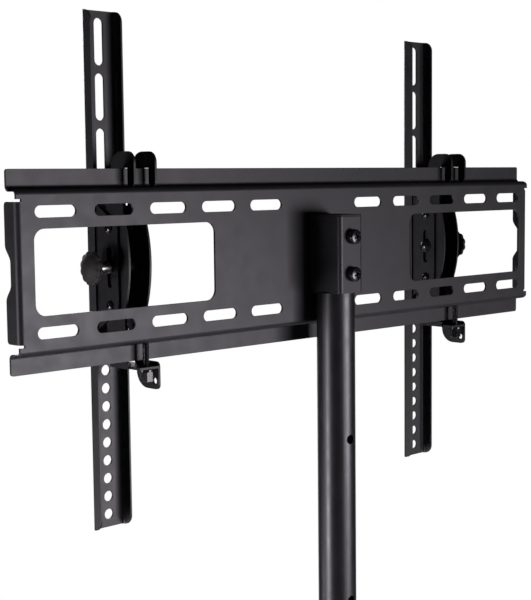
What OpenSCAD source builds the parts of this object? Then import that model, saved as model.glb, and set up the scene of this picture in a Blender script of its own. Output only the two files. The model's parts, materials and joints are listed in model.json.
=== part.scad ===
// Floor stand for a television: a round two-part pole on a flat base, a pressed
// steel wall plate bolted to the pole's head, and two slotted arms that hang on
// the plate's rails and tilt.
// Z is up, the screen side faces -Y. Left and right are as seen from behind,
// so +X is left. The origin is on the floor, on the pole's axis.

/* [Wall plate] */
// Width over the side flanges
plate_w = 648; // [560:4:760]
// Height of the flat part of the main face
face_h = 117.8; // [110:0.2:130]
// Height over both hanging rails
rails_h = 157.4; // [154:0.2:176]
// Depth of the rails behind the main face
rail_step = 13.2; // [12:0.2:16]
// Sheet thickness of the wall plate
plate_t = 2; // [1.6:0.1:2.2]
// Inside radius of the bends in the wall plate
plate_bend_r = 2.6; // [2:0.1:3]
// Depth of the side flanges
flange_d = 17; // [15:0.5:18]
// Height of the side flanges
flange_h = 108; // [100:1:108]
// Depth left in the middle of a side flange
flange_waist_d = 10.2; // [8:0.2:12]
// Height of the waist's straight bottom
waist_h = 17; // [12:1:24]
// Height over the whole waist
waist_mouth_h = 43; // [36:1:50]
// Length of a slot in the wall plate
plate_slot_l = 38.1; // [30:0.1:40]
// Width of a slot in the wall plate
plate_slot_w = 9.2; // [8:0.1:10]
// Distance from one slot to the next
plate_slot_pitch = 55.5; // [52:0.1:57]
// Number of slots in each half of a row
plate_slots = 5; // [3:1:5]
// Height from the middle of the plate to a row of slots
slot_row_z = 46.3; // [45:0.1:48]
// Distance from the flat face's edge to its first slot
plate_slot_edge = 11.6; // [10:0.2:16]
// Width of a window
window_w = 181.6; // [150:0.2:190]
// Height of a window
window_h = 66.4; // [60:0.2:70]
// Corner radius of a window
window_r = 9; // [5:0.5:14]
// Distance from the flat face's edge to a window
window_edge = 10.4; // [8:0.2:16]

/* [Arms] */
// Distance from the middle to the left arm
left_x = 200.5; // [160:0.5:240]
// Distance from the middle to the right arm
right_x = 206; // [160:0.5:240]
// Length of an arm
arm_l = 437; // [420:1:470]
// Width of an arm's channel
arm_w = 33.2; // [32:0.2:40]
// Depth of an arm's channel
arm_d = 12.5; // [10:0.5:14]
// Sheet thickness of an arm
arm_t = 1.6; // [1.4:0.1:2.2]
// Inside bend radius of an arm
arm_bend_r = 2.5; // [2:0.1:3]
// Corner radius at the ends of an arm's flanges
arm_corner_r = 9.5; // [6:0.5:9.5]
// Depth from the wall plate's face to an arm's web
arm_web_y = 60; // [58:0.5:64]
// Height of an arm's top above the middle of the wall plate
arm_top = 209.5; // [200:0.5:240]
// Length of a long slot in an arm
arm_slot_l = 39; // [30:0.2:40]
// Distance from one long slot to the next
arm_slot_pitch = 45.6; // [44:0.2:50]
// Width of the slots and diameter of the holes in an arm
arm_hole_d = 9; // [7:0.1:10]
// Distance from one round hole to the next
arm_hole_pitch = 15.6; // [14:0.1:16]
// Number of long slots
arm_slots = 3; // [2:1:3]
// Distance from the arm's top to its first slot
arm_slot_edge = 5.8; // [4:0.1:8]
// Distance from the arm's bottom to its last hole's middle
arm_hole_edge = 11.1; // [8:0.1:14]

/* [Tilt brackets] */
// Height of the tilt pivot above the middle of the wall plate
pivot_z = -2; // [-4:0.5:2]
// Depth of the tilt pivot behind the wall plate's face
pivot_y = 32; // [30:0.5:36]
// Diameter of the pivot bolt
pivot_d = 8; // [7:0.1:8]
// Sheet thickness of a tilt bracket
tilt_t = 2; // [1.6:0.1:2.4]
// Depth of a tilt bracket's cheeks
cheek_d = 38.8; // [36:0.1:41]
// Height of a tilt bracket's web
tilt_web_h = 118; // [110:1:122]
// Height of a cheek's straight front edge
cheek_front_h = 74; // [70:1:80]
// Length of the upright slot in a cheek
cheek_slot_l = 34; // [28:1:38]
// Width of the upright slot in a cheek
cheek_slot_w = 6.4; // [4:0.1:7]
// Distance from the pivot to a guide screw
guide_r = 32; // [30:0.5:33]
// Tilt each way that the guide slots leave
tilt_range = 10; // [8:1:12]
// Diameter of a guide screw
guide_d = 4.8; // [4:0.1:5]

/* [Hook brackets] */
// Sheet thickness of a hook bracket
hook_t = 2; // [1.6:0.1:2.5]
// Side play of a hook bracket between the cheeks of its tilt bracket
hook_play = 0.85; // [0.5:0.05:1.2]
// Depth from the wall plate's face to the rear edge of a hook's finger
finger_y = 0.8; // [0.5:0.1:3]
// Gap between a hook's finger and the rail
finger_gap = 3.9; // [3:0.1:4.5]
// Height of a hook's top above the rail
hook_rise = 13.8; // [11:0.2:16]
// Depth from the wall plate's face to a hook's front edge
hook_front_y = 31; // [29:0.5:36]
// Depth from the wall plate's face to the bulge of a hook plate's rear edge
bulge_y = 9.8; // [8:0.1:12]
// Radius of the bulge
bulge_r = 112; // [90:2:140]
// Depth from the wall plate's face to a hook bracket's web
hook_web_y = 45.5; // [44.5:0.5:46]
// Height below the rail of the shelf that holds the security screw
shelf_drop = 6.5; // [6:0.1:9]
// Depth from the wall plate's face to the shelf's rear edge
shelf_y = 0.4; // [0.2:0.1:2]
// Height of the padlock ear below the rail
ear_drop = 24.6; // [21:0.2:28]
// Depth from the wall plate's face to the ear's rear edge
ear_y = 1; // [0.5:0.1:3]
// Diameter of the padlock hole
padlock_d = 5.6; // [4.5:0.1:7]

/* [Clamp knobs] */
// Diameter of a tilt knob
knob_d = 29; // [26:0.5:31]
// Thickness of a tilt knob's rim
knob_rim_h = 3.2; // [2.6:0.1:5]
// Height of the dome on a tilt knob
knob_dome_h = 4.5; // [3:0.1:7]
// Length of the steel sleeve between a cheek and its knob
sleeve_l = 16.2; // [10:0.2:20]
// Diameter of the steel sleeve
sleeve_d = 10.5; // [9.5:0.5:13]
// Number of flutes round a knob
knob_flutes = 12; // [6:1:14]
// Diameter of the height knob
height_knob_d = 46; // [40:1:56]

/* [Security screws] */
// Diameter of a security screw
security_d = 5.8; // [5:0.1:6]
// Height of a security screw's head
security_head_h = 9; // [5:0.5:10]
// Width across the flats of a security screw's head
security_head_af = 10; // [9:0.1:11]

/* [Column head] */
// Width of the square tube on top of the pole
head_w = 30; // [26:1:32]
// Depth of the square tube on top of the pole
head_d = 40; // [38:1:46]
// Height of the square tube on top of the pole
head_h = 68.5; // [60:0.5:76]
// Wall of the square tube
head_t = 2.5; // [2:0.1:3]
// Outer corner radius of the square tube
head_r = 3.6; // [3:0.1:5]
// Height of the head's middle above the middle of the wall plate
head_rise = 0.35; // [0:0.05:4]
// Distance between the two head bolts
head_bolt_pitch = 33.5; // [28:0.1:36]
// Diameter of a head bolt
head_bolt_d = 8; // [6:0.1:8]
// Diameter of a head bolt's head
head_bolt_head_d = 13.6; // [11:0.2:14]
// Height of a head bolt's head
head_bolt_head_h = 7; // [5:0.1:8]

/* [Pole] */
// Height of the wall plate's middle above the floor
mount_z = 1235; // [1100:5:1400]
// Diameter of the upper pole
pole_d = 35; // [32:0.5:36]
// Wall of the upper pole
pole_t = 2; // [1.5:0.1:3]
// Length of the upper pole
pole_l = 655; // [600:5:700]
// Diameter of the index holes in the upper pole
index_d = 8.6; // [7:0.1:9]
// Distance from the pole's top to its first index hole
index_first = 131.1; // [110:0.1:140]
// Distance from the pole's bottom to its last index hole
index_last = 73.9; // [60:0.1:80]
// Number of index holes
index_holes = 4; // [2:1:4]
// Diameter of the lower pole
lower_d = 42; // [41:0.5:46]
// Wall of the lower pole
lower_t = 2; // [1.5:0.1:2]
// Index hole that the height lock faces, counted from the top
locked_hole = 3; // [2:1:3]

/* [Base] */
// Width of the base
base_w = 620; // [500:10:800]
// Depth of the base
base_d = 440; // [360:10:560]
// Thickness of the base
base_t = 6; // [5:0.5:10]
// Corner radius of the base
base_r = 45; // [20:1:80]
// Distance from the pole to the middle of the base, towards the screen
base_offset = 40; // [0:5:60]
// Height of the rubber feet
foot_h = 8; // [5:0.5:12]
// Diameter of the rubber feet
foot_d = 36; // [24:1:44]
// Width of the square flange under the pole
flange_w = 120; // [100:2:150]
// Thickness of the flange under the pole
pole_flange_t = 6; // [5:0.5:10]
// Distance between neighbouring base bolts
base_bolt_pitch = 88; // [78:1:110]
// Diameter of the base bolts
base_bolt_d = 8; // [6:0.5:10]

/* [Hidden] */
$fn = 64;
// Overrun of every cut past the face it opens
cut = 1;
// Gap between faces that slide past or rest near each other
gap = 0.3;
// Radial clearance of a pin that turns in its hole
turn_gap = 0.08;
// Radial clearance of a bolt in a hole of its own body
bolt_gap = 0.2;

// Wall plate, worked out
plate_bend_ro = plate_bend_r + plate_t;
flat_w = plate_w - 2 * plate_bend_ro;
step_z = face_h / 2 + plate_bend_ro;
rail_z = rails_h / 2;
rail_front_y = rail_step + plate_t;
flange_corner_r = 3;
flange_notch_h = 2;
face_corner_r = 3.6;
rail_corner_r = 2.2;

// Arms and brackets, worked out
arm_bottom = arm_top - arm_l;
arm_inner_w = arm_w - 2 * arm_t;
tilt_w = arm_inner_w - 2 * gap;
hole_margin = 20;
tilt_bend_r = 2.3;
cheek_rear_y = arm_web_y - cheek_d;
cheek_front_z = cheek_front_h / 2;
web_edge_z = tilt_web_h / 2;
holes_top = pivot_z - web_edge_z - hole_margin;
arm_holes = floor((holes_top - arm_bottom - arm_hole_edge) / arm_hole_pitch) + 1;
rivet_z = 45;
rivet_d = 5;
rivet_head_d = 9;
rivet_head_h = 1.2;
guide_head_d = 8.8;
guide_head_h = 3;
guide_nut_af = 8;
guide_nut_h = 2.6;
guide_tail = 0.8;
slot_step_a = 20;
slot_spare_a = 1;

// Hook bracket, worked out
rail_play = 1.3;
hook_w = tilt_w - 2 * (tilt_t + hook_play);
hook_slot_rear_y = rail_step - finger_gap;
hook_slot_front_y = rail_front_y + rail_play;
hook_slot_top = rail_z + gap;
hook_top = rail_z + hook_rise;
hook_round_r = 13;
finger_round_r = 9;
finger_tip_z = step_z + gap;
finger_tip_r = 4;
bulge_half_h = 38;
bulge_z = 1;
neck_z = 60;
hook_neck_z = 64;
low_neck_z = 62;
spine_z = 34;
spine_low_z = 64;
lower_front_y = 38;
shelf_z = -rail_z - shelf_drop;
shelf_front_y = lower_front_y;
lip_y = 13.5;
rail_gap_z = -rail_z - 1.4;
ear_z = -rail_z - ear_drop;
ear_front_y = 30;
ear_front_r = 14;
ear_r = 4;
padlock_y = 6.4;
padlock_z = ear_z + 6.9;
hook_web_z = 40;
spacer_d = 13;

// Security screw, worked out
security_y = 5;
security_top = -step_z - 0.5;
security_washer_h = 1.4;
security_washer_d = 12.5;
security_point_h = 1;

// Pivot bolt and knob, worked out
pivot_head_d = 13;
pivot_head_h = 5;
knob_bolt_in = 4.6;
knob_edge_r = 1.3;
knob_flute_share = 0.3;

// Column, worked out
face_y = -head_d / 2;
head_z = mount_z + head_rise;
head_top = head_z + head_h / 2;
head_bottom = head_z - head_h / 2;
disc_h = 2.5;
pole_top = head_bottom - disc_h;
pole_bottom = pole_top - pole_l;
head_cap_h = 2;
head_plug_h = 9;
head_washer_d = 16;
head_washer_h = 1.5;
head_nut_af = 13;
head_nut_h = 6.5;
head_bolt_edge_r = 1.8;
head_bolt_tail = 3;

// Lower pole, collar and height lock, worked out
lower_bore_d = lower_d - 2 * lower_t;
bush_h = 60;
bush_lip_h = 3;
collar_h = 46;
collar_t = 4.4;
collar_lip_h = 5;
collar_r = 2;
collar_d = lower_d + 2 * collar_t;
boss_d = 22;
boss_l = 10;
stud_d = 8;
index_pitch = (pole_l - index_first - index_last) / (index_holes - 1);
stud_z = pole_top - index_first - (locked_hole - 1) * index_pitch;
stud_drop = 21;
lower_top = stud_z + stud_drop;
stud_tip_y = pole_d / 2 + gap;
boss_end_y = collar_d / 2 + boss_l;
height_knob_rim_h = 13;
height_knob_dome_h = 4;
height_knob_edge_r = 3;
height_knob_flutes = 7;
stud_in_knob = 11;
stud_travel = 4;
height_knob_y = boss_end_y + stud_travel + gap;

// Base, worked out
base_z = foot_h;
flange_z = base_z + base_t;
lower_bottom = flange_z + pole_flange_t;
foot_inset = 52;
foot_edge_r = 2;
base_bolt_head_af = 13;
base_bolt_head_h = 5.3;
base_washer_d = 16;
base_washer_h = 1.6;
flange_r = 10;
weld_r = 4;

// Points on an arc from angle a0 to a1 about [x, y]
function arc(x, y, r, a0, a1, n = 8) =
  [for (i = [0:n]) let (a = a0 + (a1 - a0) * i / n) [x + r * cos(a), y + r * sin(a)]];

// A slot with round ends, along X
module obround(l, w) {
  square([l - w, w], center = true);
  for (s = [-1, 1]) translate([s * (l - w) / 2, 0]) circle(d = w);
}

// A rectangle with round corners, about its middle
module rounded_rect(w, h, r) {
  square([w - 2 * r, h], center = true);
  square([w, h - 2 * r], center = true);
  for (sx = [-1, 1], sy = [-1, 1])
    translate([sx * (w / 2 - r), sy * (h / 2 - r)]) circle(r);
}

// A quarter of a ring, in the quadrant where X and Y are positive
module bend_sector(r, t) {
  intersection() {
    difference() {
      circle(r + t);
      circle(r);
    }
    square(r + t);
  }
}

// Section of a bent channel that opens towards +Y, its web's outside on Y = 0
module channel_section(w, d, t, r) {
  ro = r + t;
  translate([-w / 2 + ro, 0]) square([w - 2 * ro, t]);
  for (s = [0, 1]) mirror([s, 0]) {
    translate([w / 2 - ro, ro]) mirror([0, 1]) bend_sector(r, t);
    translate([w / 2 - t, ro]) square([t, d - ro]);
  }
}

// Extrudes a drawing of depth and height along X, about X = 0
module along_x(l) {
  translate([-l / 2, 0, 0]) rotate([90, 0, 90]) linear_extrude(l) mirror([1, 0]) children();
}

// Moves children to the middle of the wall plate's rear face
module at_plate() {
  translate([0, face_y, mount_z]) children();
}

// A hole or pin along X
module x_cylinder(d, l) {
  rotate([0, 90, 0]) cylinder(d = d, h = l, center = true);
}

// A hole or pin along Y, from Y = 0 towards +Y
module y_cylinder(d, l) {
  rotate([-90, 0, 0]) cylinder(d = d, h = l);
}

// A prism with six sides along Z, given across its flats
module hex_prism(af, h) {
  cylinder(d = af / cos(30), h = h, $fn = 6);
}

// A low domed head along Z, flat side on Z = 0
module domed_head(d, h) {
  r = (d * d / 4 + h * h) / (2 * h);
  intersection() {
    cylinder(d = d, h = h);
    translate([0, 0, h - r]) sphere(r);
  }
}

// A flat-topped head along Z with a round edge, flat side on Z = 0
module pan_head(d, h, r) {
  rotate_extrude() polygon(concat([[0, 0], [d / 2, 0]], arc(d / 2 - r, h - r, r, 0, 90), [[0, h]]));
}

// Half of the wall plate's section above the flat face: bend, step, bend and rail
module step_section() {
  translate([plate_bend_ro, face_h / 2]) mirror([1, 0]) bend_sector(plate_bend_r, plate_t);
  translate([plate_bend_ro, step_z - plate_t])
    square([rail_step - plate_bend_r - plate_bend_ro, plate_t]);
  translate([rail_step - plate_bend_r, step_z + plate_bend_r])
    mirror([0, 1]) bend_sector(plate_bend_r, plate_t);
  translate([rail_step, step_z + plate_bend_r])
    square([plate_t, rail_z - step_z - plate_bend_r]);
}

// Section of the wall plate, in depth and height
module plate_section() {
  translate([0, -face_h / 2]) square([plate_t, face_h]);
  for (s = [0, 1]) mirror([0, s]) step_section();
}

// Upper half of a side flange's free edge, from the waist's middle up to the corner
function flange_edge(n = 8) = concat(
  [[flange_waist_d, 0]],
  [for (i = [0:n]) let (t = i / n) [
    flange_waist_d + (flange_d - flange_waist_d) * (1 - cos(180 * t)) / 2,
    (waist_h + (waist_mouth_h - waist_h) * t) / 2]],
  arc(flange_d - flange_corner_r, flange_h / 2 - flange_corner_r, flange_corner_r, 0, 90));

// Outline of a side flange, in depth and height
module side_flange_outline() {
  for (s = [0, 1]) mirror([0, s]) polygon(concat([[0, 0]], flange_edge(), [[0, flange_h / 2]]));
}

// One side flange with its bend and a strip of the flat face, on the left
module side_flange() {
  intersection() {
    translate([0, 0, -flange_h / 2]) linear_extrude(flange_h) {
      translate([flat_w / 2 - plate_t, -plate_t]) square(plate_t);
      translate([flat_w / 2, -plate_bend_ro]) bend_sector(plate_bend_r, plate_t);
      translate([plate_w / 2 - plate_t, -flange_d]) square([plate_t, flange_d - plate_bend_ro]);
    }
    translate([plate_w / 2, 0, 0]) along_x(2 * (plate_bend_ro + plate_t) + cut) side_flange_outline();
  }
}

module base_plate() {
  color("#202022")
  translate([0, -base_offset, base_z]) difference() {
    linear_extrude(base_t) rounded_rect(base_w, base_d, base_r);
    translate([0, base_offset, 0]) base_bolt_places()
      translate([0, 0, -cut]) cylinder(r = base_bolt_d / 2 + turn_gap, h = base_t + 2 * cut);
  }
}

// Places of the four base bolts round the pole
module base_bolt_places() {
  for (sx = [-1, 1], sy = [-1, 1])
    translate([sx * base_bolt_pitch / 2, sy * base_bolt_pitch / 2, 0]) children();
}

module rubber_feet() {
  color("#141414") {
    for (sx = [-1, 1], sy = [-1, 1])
      translate([sx * (base_w / 2 - foot_inset), sy * (base_d / 2 - foot_inset) - base_offset, 0]) foot();
    foot();
  }
}

// One foot: a round pad with a rolled lower edge
module foot() {
  r = foot_d / 2;
  rotate_extrude() polygon(concat(
    [[0, 0]], arc(r - foot_edge_r, foot_edge_r, foot_edge_r, -90, 0), [[r, foot_h], [0, foot_h]]));
}

module pole_flange() {
  color("#202022") {
    difference() {
      translate([0, 0, flange_z]) linear_extrude(pole_flange_t) rounded_rect(flange_w, flange_w, flange_r);
      base_bolt_places() translate([0, 0, flange_z - cut])
        cylinder(r = base_bolt_d / 2 + bolt_gap, h = pole_flange_t + 2 * cut);
    }
    translate([0, 0, lower_bottom]) rotate_extrude()
      translate([lower_d / 2 + turn_gap, 0]) polygon([[0, 0], [weld_r, 0], [0, weld_r]]);
  }
}

module base_bolts() {
  color("#2a2a2c") base_bolt_places() {
    translate([0, 0, base_z]) cylinder(d = base_bolt_d, h = base_t + pole_flange_t);
    translate([0, 0, lower_bottom]) cylinder(d = base_washer_d, h = base_washer_h);
    translate([0, 0, lower_bottom + base_washer_h]) hex_prism(base_bolt_head_af, base_bolt_head_h);
  }
}

module lower_pole() {
  color("#1c1c1e") difference() {
    translate([0, 0, lower_bottom]) cylinder(d = lower_d, h = lower_top - lower_bottom);
    translate([0, 0, lower_bottom - cut]) cylinder(d = lower_bore_d, h = lower_top - lower_bottom + 2 * cut);
    translate([0, 0, stud_z]) y_cylinder(stud_d + 2 * bolt_gap, lower_d);
  }
}

module pole_bush() {
  bore = pole_d + 2 * turn_gap;
  color("#303030") difference() {
    union() {
      translate([0, 0, lower_top - bush_h]) cylinder(r = lower_bore_d / 2 - turn_gap, h = bush_h);
      translate([0, 0, lower_top]) cylinder(d = lower_d, h = bush_lip_h);
    }
    translate([0, 0, lower_top - bush_h - cut]) cylinder(d = bore, h = bush_h + bush_lip_h + 2 * cut);
    translate([0, 0, stud_z]) y_cylinder(stud_d + 2 * bolt_gap, lower_d);
  }
}

module clamp_collar() {
  top = lower_top + bush_lip_h + gap + collar_lip_h;
  color("#18181a") difference() {
    union() {
      translate([0, 0, top]) mirror([0, 0, 1]) rotate_extrude() polygon(concat(
        [[0, 0]], arc(collar_d / 2 - collar_r, collar_r, collar_r, -90, 0),
        arc(collar_d / 2 - collar_r, collar_h - collar_r, collar_r, 0, 90), [[0, collar_h]]));
      translate([0, 0, stud_z]) y_cylinder(boss_d, boss_end_y);
    }
    translate([0, 0, top - collar_h - cut])
      cylinder(r = lower_d / 2 + turn_gap, h = collar_h - collar_lip_h + cut);
    translate([0, 0, top - collar_h]) cylinder(r = pole_d / 2 + gap, h = collar_h + cut);
    translate([0, 0, stud_z]) y_cylinder(stud_d + 2 * turn_gap, boss_end_y + cut);
  }
}

module height_lock_stud() {
  color("#3a3a3c") translate([0, stud_tip_y, stud_z])
    y_cylinder(stud_d, height_knob_y + stud_in_knob - stud_tip_y);
}

module height_knob() {
  color("#161616") translate([0, height_knob_y, stud_z]) rotate([-90, 0, 0])
    knob(height_knob_d, height_knob_rim_h, height_knob_dome_h, height_knob_edge_r,
      height_knob_flutes, stud_d, stud_in_knob);
}

// A fluted knob along Z: a rim with round edges, a low dome and a blind bore from below
module knob(d, rim_h, dome_h, edge_r, flutes, bore_d, bore_l) {
  r = d / 2;
  dome_w = r - edge_r;
  dome_r = (dome_w * dome_w + dome_h * dome_h) / (2 * dome_h);
  flute_r = PI * d / flutes / 4;
  flute_x = r + flute_r * (1 - 2 * knob_flute_share);
  difference() {
    rotate_extrude() polygon(concat(
      [[0, 0]], arc(dome_w, edge_r, edge_r, -90, 0, 4), arc(dome_w, rim_h - edge_r, edge_r, 0, 90, 4),
      arc(0, rim_h + dome_h - dome_r, dome_r, acos(dome_w / dome_r), 90)));
    for (i = [0:flutes - 1]) rotate([0, 0, 360 * i / flutes])
      translate([flute_x, 0, -cut]) cylinder(r = flute_r, h = rim_h + dome_h + 2 * cut, $fn = 24);
    translate([0, 0, -cut]) cylinder(r = bore_d / 2 + turn_gap, h = bore_l + gap + cut);
  }
}

module upper_pole() {
  color("#1c1c1e") difference() {
    translate([0, 0, pole_bottom]) cylinder(d = pole_d, h = pole_l);
    translate([0, 0, pole_bottom - cut]) cylinder(d = pole_d - 2 * pole_t, h = pole_l + 2 * cut);
    for (i = [0:index_holes - 1])
      translate([0, 0, pole_top - index_first - i * index_pitch]) y_cylinder(index_d, pole_d);
  }
}

module pole_top_disc() {
  color("#1c1c1e") translate([0, 0, pole_top]) cylinder(d = pole_d, h = disc_h);
}

// Heights of the head bolts' axes, even about the wall plate's middle
module head_bolt_places() {
  for (s = [-1, 1]) translate([0, 0, mount_z + s * head_bolt_pitch / 2]) children();
}

module column_head() {
  color("#26262a") difference() {
    translate([0, 0, head_bottom]) linear_extrude(head_h) difference() {
      rounded_rect(head_w, head_d, head_r);
      rounded_rect(head_w - 2 * head_t, head_d - 2 * head_t, head_r - head_t);
    }
    head_bolt_places() translate([0, -head_d, 0]) y_cylinder(head_bolt_d + 2 * bolt_gap, 2 * head_d);
  }
}

module head_cap() {
  color("#141414") {
    translate([0, 0, head_top]) linear_extrude(head_cap_h) rounded_rect(head_w, head_d, head_r);
    translate([0, 0, head_top - head_plug_h]) linear_extrude(head_plug_h) difference() {
      plug_w = head_w - 2 * head_t - 2 * gap;
      plug_d = head_d - 2 * head_t - 2 * gap;
      rounded_rect(plug_w, plug_d, head_r - head_t);
      square([plug_w - 2 * head_t, plug_d - 2 * head_t], center = true);
    }
  }
}

module head_bolts() {
  tail = plate_t + head_washer_h + head_nut_h + head_bolt_tail;
  color("#2a2a2c") head_bolt_places() {
    translate([0, face_y - tail, 0]) y_cylinder(head_bolt_d, head_d + tail);
    translate([0, -face_y, 0]) rotate([-90, 0, 0])
      pan_head(head_bolt_head_d, head_bolt_head_h, head_bolt_edge_r);
  }
}

module head_washers() {
  color("#4a4a4c") head_bolt_places() translate([0, face_y - plate_t - head_washer_h, 0]) difference() {
    y_cylinder(head_washer_d, head_washer_h);
    translate([0, -cut, 0]) y_cylinder(head_bolt_d + 2 * bolt_gap, head_washer_h + 2 * cut);
  }
}

module head_nuts() {
  color("#4a4a4c") head_bolt_places()
    translate([0, face_y - plate_t - head_washer_h, 0]) rotate([90, 0, 0]) difference() {
      hex_prism(head_nut_af, head_nut_h);
      translate([0, 0, -cut]) cylinder(r = head_bolt_d / 2 + turn_gap, h = head_nut_h + 2 * cut);
    }
}

// What is cut away to round a corner at [0, 0], with the sheet where X and Y are negative
module corner_cut(r) {
  difference() {
    translate([-r, -r]) square(r + cut);
    translate([-r, -r]) circle(r);
  }
}

// Cuts that round the four corners of a sheet w wide and h high, from the rear face to depth d
module corner_cuts(w, h, r, d) {
  rotate([90, 0, 0]) translate([0, 0, -cut]) linear_extrude(d + cut)
    for (sx = [0, 1], sz = [0, 1]) mirror([sx, 0]) mirror([0, sz]) translate([w / 2, h / 2]) corner_cut(r);
}

module wall_plate() {
  slot_x = flat_w / 2 - plate_slot_edge - plate_slot_l / 2;
  window_x = flat_w / 2 - window_edge - window_w / 2;
  notch_z = flange_h / 2 + flange_notch_h;
  color("#3c3c40") at_plate() difference() {
    union() {
      difference() {
        along_x(plate_w) plate_section();
        for (s = [0, 1]) mirror([s, 0, 0]) translate([flat_w / 2, -plate_t - cut, -notch_z])
          cube([plate_bend_ro + cut, plate_t + 2 * cut, 2 * notch_z]);
        corner_cuts(plate_w, 2 * step_z, face_corner_r, rail_step - plate_bend_r);
        corner_cuts(plate_w, rails_h, rail_corner_r, rail_front_y + cut);
      }
      for (s = [0, 1]) mirror([s, 0, 0]) side_flange();
    }
    rotate([90, 0, 0]) translate([0, 0, -cut]) linear_extrude(plate_t + 2 * cut) {
      for (sx = [-1, 1]) {
        translate([sx * window_x, 0]) rounded_rect(window_w, window_h, window_r);
        for (sz = [-1, 1], i = [0:plate_slots - 1])
          translate([sx * (slot_x - i * plate_slot_pitch), sz * slot_row_z])
            obround(plate_slot_l, plate_slot_w);
      }
      for (s = [-1, 1]) translate([0, s * head_bolt_pitch / 2]) circle(head_bolt_d / 2 + bolt_gap);
    }
  }
}

// Rear edge of a hook plate, from the rail slot down to the bottom rail
function hook_rear_edge() = concat(
  [[hook_slot_front_y, hook_slot_top], [hook_slot_front_y, neck_z]],
  arc(bulge_y + bulge_r, bulge_z, bulge_r,
    180 - asin(bulge_half_h / bulge_r), 180 + asin(bulge_half_h / bulge_r), 16),
  [[hook_slot_front_y, -low_neck_z], [hook_slot_front_y, rail_gap_z]]);

// Front edge of a hook plate and its hook, from the bottom up and over to the finger
function hook_front_edge() = concat(
  [[lower_front_y, -spine_low_z], [hook_web_y, -spine_z], [hook_web_y, spine_z]],
  [[hook_front_y, hook_neck_z]],
  arc(hook_front_y - hook_round_r, hook_top - hook_round_r, hook_round_r, 0, 90),
  arc(finger_y + finger_round_r, hook_top - finger_round_r, finger_round_r, 90, 180),
  arc(finger_y + finger_tip_r, finger_tip_z + finger_tip_r, finger_tip_r, 180, 270, 4),
  arc(hook_slot_rear_y - finger_tip_r, finger_tip_z + finger_tip_r, finger_tip_r, 270, 360, 4),
  [[hook_slot_rear_y, hook_slot_top]]);

// Left plate: ends in the shelf
module left_plate_outline() {
  polygon(concat(hook_rear_edge(),
    [[lip_y, rail_gap_z], [lip_y, shelf_z], [shelf_front_y, shelf_z]], hook_front_edge()));
}

// Right plate: ends in the padlock ear
module ear_plate_outline() {
  polygon(concat(hook_rear_edge(),
    arc(ear_y + ear_r, rail_gap_z - ear_r, ear_r, 90, 180, 4),
    arc(ear_y + ear_r, ear_z + ear_r, ear_r, 180, 270, 4),
    arc(ear_front_y - ear_front_r, ear_z + ear_front_r, ear_front_r, 270, 360),
    [[lower_front_y, -spine_low_z - ear_r]], hook_front_edge()));
}

// Outline of a slot that curves about [0, 0] at radius r, from angle -a to a
function curved_slot(r, w, a) = concat(
  arc(0, 0, r + w / 2, -a, a),
  arc(r * cos(a), r * sin(a), w / 2, a + slot_step_a, a + 180 - slot_step_a),
  arc(0, 0, r - w / 2, a, -a),
  arc(r * cos(a), -r * sin(a), w / 2, 180 - a + slot_step_a, 360 - a - slot_step_a));

// The two curved slots that the guide screws run in, above and below the pivot
module guide_slots() {
  for (a = [90, 270]) rotate(a)
    polygon(curved_slot(guide_r, guide_d + 2 * gap, tilt_range + slot_spare_a));
}

module hook_bracket(x) {
  plate_x = (hook_w - hook_t) / 2;
  inner_w = hook_w - 2 * hook_t;
  color("#202022") at_plate() translate([x, 0, 0]) difference() {
    union() {
      translate([plate_x, 0, 0]) along_x(hook_t) left_plate_outline();
      translate([-plate_x, 0, 0]) along_x(hook_t) ear_plate_outline();
      along_x(inner_w) translate([hook_web_y - hook_t, pivot_z - hook_web_z / 2])
        square([hook_t, hook_web_z]);
      along_x(inner_w) translate([shelf_y, shelf_z]) square([shelf_front_y - shelf_y, hook_t]);
    }
    translate([0, -pivot_y, pivot_z]) x_cylinder(pivot_d + 2 * turn_gap, hook_w + 2 * cut);
    translate([0, -pivot_y, pivot_z]) along_x(hook_w + 2 * cut) guide_slots();
    translate([-plate_x, -padlock_y, padlock_z]) x_cylinder(padlock_d, hook_t + 2 * cut);
    translate([0, -security_y, shelf_z - cut]) cylinder(r = security_d / 2 + turn_gap, h = hook_t + 2 * cut);
  }
}

module pivot_spacer(x) {
  l = hook_w - 2 * hook_t;
  color("#4a4a4c") at_plate() translate([x, -pivot_y, pivot_z]) difference() {
    x_cylinder(spacer_d, l);
    x_cylinder(pivot_d + 2 * gap, l + 2 * cut);
  }
}

module security_washer(x) {
  color("#3a3a3c") at_plate() translate([x, -security_y, shelf_z - gap - security_washer_h]) difference() {
    cylinder(d = security_washer_d, h = security_washer_h);
    translate([0, 0, -cut]) cylinder(r = security_d / 2 + turn_gap, h = security_washer_h + 2 * cut);
  }
}

module security_screw(x) {
  seat = shelf_z - gap - security_washer_h;
  color("#303032") at_plate() translate([x, -security_y, 0]) {
    translate([0, 0, seat]) cylinder(d = security_d, h = security_top - security_point_h - seat);
    translate([0, 0, security_top - security_point_h])
      cylinder(r1 = security_d / 2, r2 = security_d / 2 - security_point_h, h = security_point_h);
    translate([0, 0, seat - security_head_h]) hex_prism(security_head_af, security_head_h);
  }
}

// Outline that trims an arm's flanges, with round corners at both ends
module arm_side_outline() {
  y0 = arm_web_y - arm_d;
  y1 = arm_web_y + arm_t;
  r = arm_corner_r;
  polygon(concat(
    [[y1, arm_bottom]], [[y1, arm_top]],
    arc(y0 + arm_t + r, arm_top - r, r, 90, 180), arc(y0 + arm_t + r, arm_bottom + r, r, 180, 270)));
}

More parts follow.
